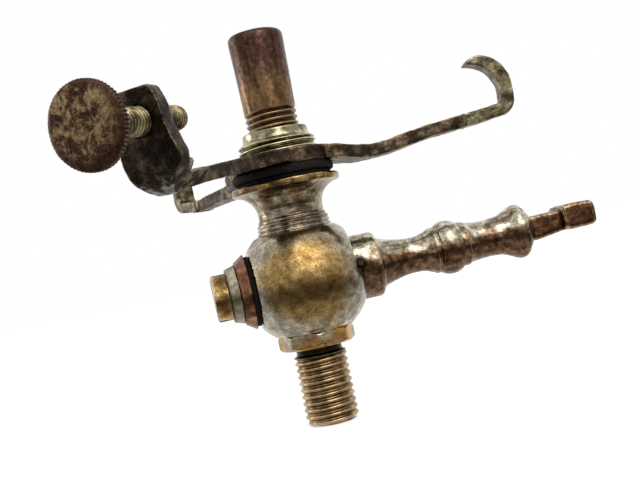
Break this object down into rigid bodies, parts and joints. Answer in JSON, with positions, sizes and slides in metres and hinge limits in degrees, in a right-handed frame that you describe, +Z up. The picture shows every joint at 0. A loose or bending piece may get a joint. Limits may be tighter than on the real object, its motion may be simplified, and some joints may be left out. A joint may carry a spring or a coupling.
{
  "type": "gas burner with tap and shade gallery",
  "caption": "Old brass gas burner: threaded inlet, globe tap with a baluster lever, three-armed shade gallery with a thumbscrew, and a threaded burner tube with a slit tip.",
  "frame": {"origin": "on the burner's axis, where the inlet thread starts below the relief groove under the spanner collar", "axes": "+Z up the burner from the tail to the tip, +X the way that the tap's key points towards the lever, which rises 0.9 degrees, -Y towards the side with the stop pin at rest"},
  "size_m": [0.0935, 0.0933, 0.0737],
  "materials": {
    "worn_nickel_brass": "nickel plate worn through to brass, polished where handled",
    "key_nickel": "nickel plate with brown patina",
    "bare_brass": "dull brass",
    "tube_brass": "heat-darkened brass",
    "gallery_brown": "rough brown patina with bare metal on the edges",
    "hook_olive": "mottled olive patina",
    "screw_patina": "purple-brown patina worn to tan on the face",
    "shank_brass": "olive brass thread",
    "washer_copper": "copper-brown",
    "washer_pale": "pale nickel",
    "pin_steel": "dark steel",
    "leather_black": "blackened leather",
    "steatite": "smoked steatite"
  },
  "bodies": {
    "tap": {"tap_body": "worn_nickel_brass", "thin_washer": "leather_black", "thick_washer": "leather_black", "burner_tube": "tube_brass", "slit_tip": "steatite", "flow_check": "steatite"},
    "key": {"tap_key": "key_nickel", "stop_pin": "pin_steel", "fibre_washer": "leather_black", "bevelled_washer": "washer_copper", "screw_washer": "washer_pale", "key_screw": "bare_brass"},
    "gallery": {"gallery_spider": "gallery_brown", "gallery_hook_right": "hook_olive", "gallery_hook_rear": "hook_olive", "gallery_ear": "gallery_brown"},
    "thumbscrew_shaft": {"thumbscrew_shank": "shank_brass"},
    "thumbscrew_knob": {"thumbscrew_head": "screw_patina"}
  },
  "joints": [
    {"name": "key_turn", "type": "hinge", "parent": "tap", "child": "key", "pos_m": [0, 0, 0.0139], "axis": [-0.9999, 0, -0.0157], "range_deg": [0, 165]},
    {"name": "gallery_swivel", "type": "hinge", "parent": "tap", "child": "gallery", "pos_m": [0, 0, 0.036], "axis": [0, 0, 1], "continuous": true},
    {"name": "thumbscrew_slide", "type": "slide", "parent": "gallery", "child": "thumbscrew_shaft", "axis": [0.5351, 0.8399, 0.0906], "range_m": [-0.0088, 0.0104]},
    {"name": "thumbscrew_turn", "type": "hinge", "parent": "thumbscrew_shaft", "child": "thumbscrew_knob", "pos_m": [-0.02351, -0.0369, 0.04223], "axis": [0.5351, 0.8399, 0.0906], "range_deg": [-3961, 4681]}
  ],
  "couplings": [
    {"joint": "thumbscrew_turn", "follows": "thumbscrew_slide", "rad_per_m": 7854}
  ]
}
